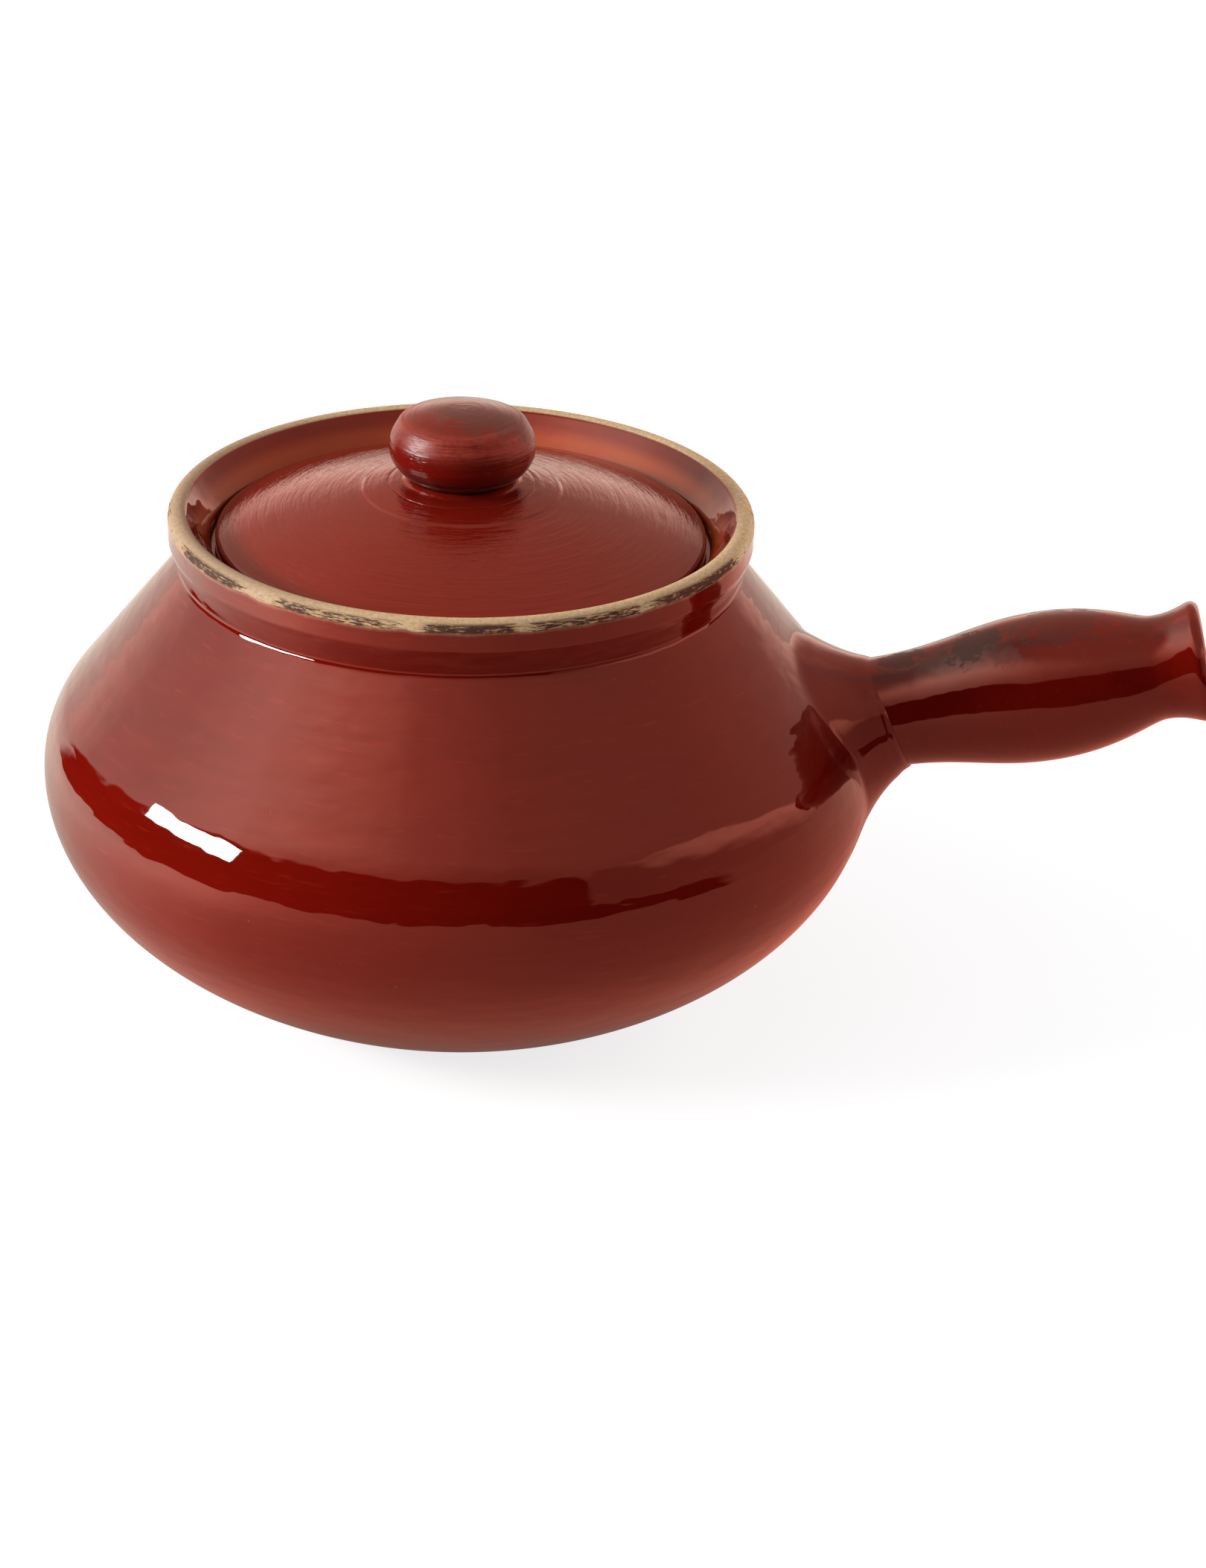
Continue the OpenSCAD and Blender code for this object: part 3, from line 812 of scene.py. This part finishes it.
# %% Glaze of the knob, smoked on its crown
knob_glaze, tree, shader, places = start_glaze("red glaze of the knob", 0.16)
at = use(tree, wheel, Vector=places)
colour = glaze_colour(tree, at.outputs["Around"], at.outputs["Height"], 0.0012, 0.5)
on_cheek = maths(
    tree, "MULTIPLY",
    fade(tree, at.outputs["Height"], (knob_belly.y + 1.5) * MM, (knob_edge_z + 2.5) * MM),
    fade(tree, at.outputs["Radius"], 0.0135, 0.0165),
)
tree.links.new(fade(tree, on_cheek, 0.0, 1.0, 0.14, 0.32), shader.inputs["Roughness"])
# Painted shade: the knob's colour darkens to near black towards its underside by the pad
under = fade(tree, at.outputs["Height"], (pad_z + 3) * MM, (pad_z + 10) * MM, 1.0, 0.0)
colour = mix(tree, under, colour, (0.026, 0.0010, 0.0008, 1))
# Wear and painted sheen: a mottled lighter band round the knob's upper cheek
wear_and_sheen = maths(tree, "MULTIPLY", on_cheek, fade(tree, noise(tree, places, 350.0, 4.0, 0.7), 0.3, 0.6, 0.1, 0.45))
colour = mix(tree, wear_and_sheen, colour, (0.34, 0.05, 0.028, 1))
dusk = use(tree, smoke, Vector=places, Centre=(0.007, -0.001, knob_top * MM), Stretch=(0.8, 0.95, 1.0), Radius=0.0125,
           Grain=160.0, Raggedness=0.5).outputs[0]
haze = use(tree, smoke, Vector=places, Centre=(0.001, 0.004, knob_top * MM), Stretch=(0.8, 1.0, 1.0), Radius=0.014,
           Grain=120.0, Raggedness=0.4).outputs[0]
colour = mix(tree, maths(tree, "MULTIPLY", haze, 0.35), colour, (0.13, 0.060, 0.048, 1))
colour = mix(tree, maths(tree, "MULTIPLY", dusk, 0.6), colour, (0.040, 0.026, 0.022, 1))
tree.links.new(colour, shader.inputs["Base Color"])
turned_line = maths(tree, "SUBTRACT", at.outputs["Height"], at.outputs["Radius"])
ridges = use(tree, lines, Around=at.outputs["Around"], Along=turned_line, Pitch=0.0022, Length=0.8).outputs[0]
ridges = maths(tree, "MULTIPLY", ridges, fade(tree, at.outputs["Radius"], 0.012, 0.018, 0.3, 1.0))
normal = wheel_bump(tree, ridges, 0.0005)
tree.links.new(normal, shader.inputs["Normal"])
knob.data.materials.append(knob_glaze)

# %% Glaze of the handle, smoked on its upper side
handle_glaze, tree, shader, places = start_glaze("red glaze of the handle", 0.05)
turned = handle_place.to_euler()
axis_start = handle_place @ Vector((0, 0, 0)) * MM
local = node(tree, "ShaderNodeVectorRotate", {
    "Vector": node(tree, "ShaderNodeVectorMath", {0: places, 1: axis_start}, operation="SUBTRACT").outputs[0],
    "Axis": (0, 1, 0), "Angle": -(pi / 2 - handle_tilt),
}, rotation_type="AXIS_ANGLE").outputs[0]
at = use(tree, wheel, Vector=local)
colour = glaze_colour(tree, at.outputs["Around"], at.outputs["Height"], 0.0016, 0.6)
SMOKES = [(127, 2, 6, 1.0), (137, 5, 5, 0.7), (148, 5, 7.5, 1.0), (157, 13, 3.5, 0.6), (172, 3, 11, 0.6), (198, 1, 7, 0.45)]
smoked = 0.0
for along, side, size, amount in SMOKES:
    patch = use(tree, smoke, Vector=local, Centre=(-0.018, -side * MM, along * MM), Stretch=(0.4, 1.1, 0.8),
                Radius=size * MM, Grain=330.0, Raggedness=0.8).outputs[0]
    patch = maths(tree, "MULTIPLY", patch, amount)
    smoked = maths(tree, "MAXIMUM", smoked, patch)
    colour = mix(tree, patch, colour, SMOKE)
tree.links.new(fade(tree, smoked, 0.0, 1.0, 0.05, 0.5), shader.inputs["Roughness"])
tree.links.new(colour, shader.inputs["Base Color"])
soft = noise(tree, places, 80.0, 2.0, 0.5)
normal = wheel_bump(tree, soft, 0.0003)
tree.links.new(normal, shader.inputs["Normal"])
handle.data.materials.append(handle_glaze)
collar.data.materials.append(handle_glaze)

# %% [markdown]
# # The camera
# The photograph was taken from a little above, at about 1.7 m with a long lens. The camera stands
# at an angle round the pot and above the rim, turned a little on its own axis as the photograph is.

# %% Place the camera
rim_centre = Vector((0, 0, (rim_z - lip_r) * MM))
camera_azimuth = radians(-87)
camera_elevation = radians(22.4)
camera_distance = 1.700
camera_roll = radians(0.9)
aim_right = 0.0393
aim_down = 0.0742
back = Vector((
    cos(camera_azimuth) * cos(camera_elevation),
    sin(camera_azimuth) * cos(camera_elevation),
    sin(camera_elevation),
))
level = Vector((-sin(camera_azimuth), cos(camera_azimuth), 0))
upright = back.cross(level)
right = level * cos(camera_roll) + upright * sin(camera_roll)
up = upright * cos(camera_roll) - level * sin(camera_roll)
camera_at = rim_centre + back * camera_distance
towards_camera = (camera_at - (rim_centre + right * aim_right - up * aim_down)).normalized()
camera_right = up.cross(towards_camera).normalized()
camera_up = towards_camera.cross(camera_right)
camera_data = bpy.data.cameras.new("camera")
camera_data.lens = 140.5
camera_data.sensor_width = 36
camera = bpy.data.objects.new("camera", camera_data)
bpy.context.scene.collection.objects.link(camera)
turn_matrix = Matrix((camera_right, camera_up, towards_camera)).transposed()
camera.matrix_world = Matrix.Translation(camera_at) @ turn_matrix.to_4x4()
bpy.context.scene.camera = camera
print("the camera stands at", [round(v, 3) for v in camera_at])

# %% [markdown]
# # The floor
# The floor is plain and pale. The camera sees it as white with the pot's faint shadow on it. In the
# glaze it shows as the table that the pot stood on: bright on the window's side, and dark past the
# table's edge.

# %% Make the floor
def stage_mesh(name, bm):
    """A stage object from a bmesh."""
    mesh = bpy.data.meshes.new(name)
    bm.to_mesh(mesh)
    bm.free()
    made = bpy.data.objects.new(name, mesh)
    bpy.context.scene.collection.objects.link(made)
    return made


floor_bm = bmesh.new()
bmesh.ops.create_grid(floor_bm, x_segments=1, y_segments=1, size=30)
ground = stage_mesh("floor", floor_bm)

floor_paint = bpy.data.materials.new("pale floor")
floor_paint.use_nodes = True
tree = floor_paint.node_tree
tree.nodes.clear()
output = node(tree, "ShaderNodeOutputMaterial")
rays = node(tree, "ShaderNodeLightPath")
places = node(tree, "ShaderNodeTexCoord").outputs["Object"]
at = use(tree, wheel, Vector=places)


def ramp(tree, value, stops):
    """A value that runs through (place, height) stops, with heights up to 3."""
    made = node(tree, "ShaderNodeValToRGB")
    points = made.color_ramp.elements
    low = stops[0][0]
    span = stops[-1][0] - low
    while len(points) < len(stops):
        points.new(0.5)
    for point, (place, height) in zip(points, stops):
        point.position = (place - low) / span
        point.color = (height / 3, height / 3, height / 3, 1)
    tree.links.new(maths(tree, "DIVIDE", maths(tree, "SUBTRACT", value, low), span), made.inputs[0])
    return maths(tree, "MULTIPLY", made.outputs[0], 3.0)


def studio_angle(tree, angle):
    """An angle round Z as degrees from straight in front, growing to the camera's right."""
    turned = maths(tree, "SUBTRACT", angle, camera_azimuth)
    wrapped = node(tree, "ShaderNodeMath", {0: turned, 1: pi, 2: -pi}, operation="WRAP").outputs[0]
    return maths(tree, "MULTIPLY", wrapped, 180 / pi)


WARM = (3.5, 1.0, 0.68, 1)
PALE = (1.1, 1.0, 0.85, 1)


def room_tint(tree, angle):
    """The room's colour in the glaze: ruddy in front, where the glaze takes in most, paler at the back."""
    left = fade(tree, angle, -125, -10, 1.0, 0.0)
    right = fade(tree, angle, 90, 165)
    return maths(tree, "MAXIMUM", left, right)


angle = studio_angle(tree, at.outputs["Angle"])
# Painted light and shadow: the table that the glaze mirrors glows brightest on the window's side and darkens towards
# the pot's foot
table_light = ramp(tree, angle, [
    (-180, 0.8), (-150, 1.0), (-120, 1.5), (-92, 1.75), (-72, 2.0), (-60, 1.75), (-45, 1.0), (-30, 0.68),
    (-10, 0.48), (20, 0.36), (85, 0.35), (115, 0.46), (140, 0.8), (180, 0.95),
])
foot_light = ramp(tree, angle, [(-180, 0.2), (-130, 0.42), (-75, 0.42), (0, 0.38), (75, 0.28), (140, 0.17), (180, 0.2)])
table_light = node(tree, "ShaderNodeMix", {
    "Factor": fade(tree, at.outputs["Radius"], 0.09, 0.36), "A": foot_light, "B": table_light,
}).outputs[0]
in_front = fade(tree, maths(tree, "ABSOLUTE", maths(tree, "ADD", angle, 30)), 98, 104, 1.0, 0.0)
past_edge = maths(tree, "MULTIPLY", in_front, fade(tree, at.outputs["Radius"], 0.52, 0.535))
table_light = maths(tree, "MULTIPLY", table_light, maths(tree, "SUBTRACT", 1.0, past_edge))
# Painted shadow round the pot's foot in the mirrored table
table_light = maths(tree, "MULTIPLY", table_light, fade(tree, at.outputs["Radius"], 0.05, 0.115, 0.3, 1.0))
table_tint = maths(tree, "MAXIMUM", room_tint(tree, angle), fade(tree, at.outputs["Radius"], 0.05, 0.11, 0.8, 0.0))
table_colour = mix(tree, table_tint, WARM, PALE)
matt = node(tree, "ShaderNodeBsdfDiffuse", {"Color": (0.8, 0.8, 0.8, 1)}).outputs[0]
shaded = node(tree, "ShaderNodeBsdfDiffuse", {"Color": (0.4, 0.4, 0.4, 1)}).outputs[0]
white = node(tree, "ShaderNodeEmission", {"Color": (1, 1, 1, 1), "Strength": 0.8}).outputs[0]
seen = node(tree, "ShaderNodeAddShader", {0: shaded, 1: white}).outputs[0]
mirrored = node(tree, "ShaderNodeEmission", {"Color": table_colour, "Strength": table_light}).outputs[0]
surface = node(tree, "ShaderNodeMixShader", {0: rays.outputs["Is Camera Ray"], 1: matt, 2: seen}).outputs[0]
surface = node(tree, "ShaderNodeMixShader", {0: rays.outputs["Is Glossy Ray"], 1: surface, 2: mirrored}).outputs[0]
tree.links.new(surface, output.inputs["Surface"])
ground.data.materials.append(floor_paint)

# %% [markdown]
# # The light
# One soft window lamp stands on the left and a weaker one on the right, behind the handle. The world
# gives an even fill. What the glaze mirrors is painted into the world for glossy rays only: a pale
# ceiling, a dark room behind the camera and a grey reflector on the right.

# %% The world
world = bpy.data.worlds.new("studio")
bpy.context.scene.world = world
world.use_nodes = True
tree = world.node_tree
tree.nodes.clear()
output = node(tree, "ShaderNodeOutputWorld")
rays = node(tree, "ShaderNodeLightPath")
direction = node(tree, "ShaderNodeTexCoord").outputs["Generated"]
at = use(tree, wheel, Vector=direction)
angle = studio_angle(tree, at.outputs["Angle"])
height = maths(tree, "MULTIPLY", maths(tree, "ARCTAN2", at.outputs["Height"], at.outputs["Radius"]), 180 / pi)
low_wall = ramp(tree, angle, [
    (-180, 1.5), (-160, 1.35), (-125, 1.0), (-105, 1.4), (-88, 2.1), (-75, 2.4), (-60, 1.5), (-45, 0.9),
    (-25, 0.5), (0, 0.3), (20, 0.3), (45, 0.42), (100, 0.45), (135, 0.45), (150, 1.4), (180, 1.5),
])
ceiling = ramp(tree, angle, [
    (-180, 0.42), (-150, 0.55), (-120, 1.3), (-95, 2.2), (-60, 2.2), (-45, 1.5), (-15, 0.7), (20, 0.48),
    (110, 0.5), (150, 0.42), (180, 0.42),
])
at_back = fade(tree, maths(tree, "ABSOLUTE", angle), 125, 150)
overhead = maths(tree, "MAXIMUM", fade(tree, height, 30, 52), maths(tree, "MULTIPLY", at_back, fade(tree, height, -2, 24)))
level = node(tree, "ShaderNodeMix", {"Factor": overhead, "A": low_wall, "B": ceiling}).outputs[0]
level = node(tree, "ShaderNodeMix", {"Factor": fade(tree, height, 50, 68), "A": level, "B": 0.42}).outputs[0]
edge_height = node(tree, "ShaderNodeMapRange", {
    "Value": maths(tree, "ABSOLUTE", angle), "From Min": 80.0, "From Max": 146.0, "To Min": 30.0, "To Max": -5.0,
}).outputs[0]
ceiling_mask = fade(tree, maths(tree, "SUBTRACT", height, edge_height), -0.8, 1.6)
slant = maths(tree, "ADD", height, maths(tree, "MULTIPLY", angle, 0.45))
reflector = maths(tree, "ADD", fade(tree, angle, 36, 110, 0.24, 0.35), node(tree, "ShaderNodeMapRange", {
    "Value": slant, "From Min": 49.5, "From Max": 61.0, "To Min": 0.0, "To Max": 0.78,
}).outputs[0])
in_reflector = maths(tree, "MULTIPLY", fade(tree, angle, 35.5, 37), fade(tree, angle, 114, 116, 1.0, 0.0))
below = maths(tree, "MULTIPLY", reflector, in_reflector)
level = node(tree, "ShaderNodeMix", {"Factor": ceiling_mask, "A": below, "B": level}).outputs[0]
high_back = maths(tree, "MULTIPLY", at_back, node(tree, "ShaderNodeMapRange", {
    "Value": height, "From Min": -8.0, "From Max": 55.0,
}).outputs[0])
tint = maths(tree, "MULTIPLY", room_tint(tree, angle), maths(tree, "SUBTRACT", 1.0, high_back))
room_colour = mix(tree, tint, WARM, PALE)
fill = node(tree, "ShaderNodeBackground", {"Color": (1, 1, 1, 1), "Strength": maths(tree, "MULTIPLY", level, 0.6)}).outputs[0]
shown = node(tree, "ShaderNodeBackground", {"Color": (1, 1, 1, 1), "Strength": 1.0}).outputs[0]
gloss = node(tree, "ShaderNodeBackground", {"Color": room_colour, "Strength": level}).outputs[0]
surface = node(tree, "ShaderNodeMixShader", {0: rays.outputs["Is Camera Ray"], 1: fill, 2: shown}).outputs[0]
surface = node(tree, "ShaderNodeMixShader", {0: rays.outputs["Is Transmission Ray"], 1: surface, 2: shown}).outputs[0]
surface = node(tree, "ShaderNodeMixShader", {0: rays.outputs["Is Glossy Ray"], 1: surface, 2: gloss}).outputs[0]
tree.links.new(surface, output.inputs["Surface"])


# %% The lamps
def lamp(name, azimuth, elevation, distance, width, height, power, mirrored=True):
    """A soft rectangular lamp at an angle round the pot, aimed at it."""
    data = bpy.data.lights.new(name, "AREA")
    data.shape = "RECTANGLE"
    data.size = width
    data.size_y = height
    data.energy = power
    turned = radians(azimuth) + camera_azimuth
    towards = Vector((cos(turned) * cos(elevation), sin(turned) * cos(elevation), sin(elevation)))
    made = bpy.data.objects.new(name, data)
    made.location = Vector((0, 0, belly_z * MM)) + towards * distance
    made.rotation_euler = towards.to_track_quat("Z", "Y").to_euler()
    made.visible_glossy = mirrored
    bpy.context.scene.collection.objects.link(made)
    return made


window = lamp("window lamp", -78, radians(20.5), 1.6, 0.90, 0.30, 28)
rim_lamp = lamp("rim lamp", 115, radians(15), 1.6, 0.9, 0.9, 14, mirrored=False)

# %% Colour management
bpy.context.scene.view_settings.view_transform = "Standard"
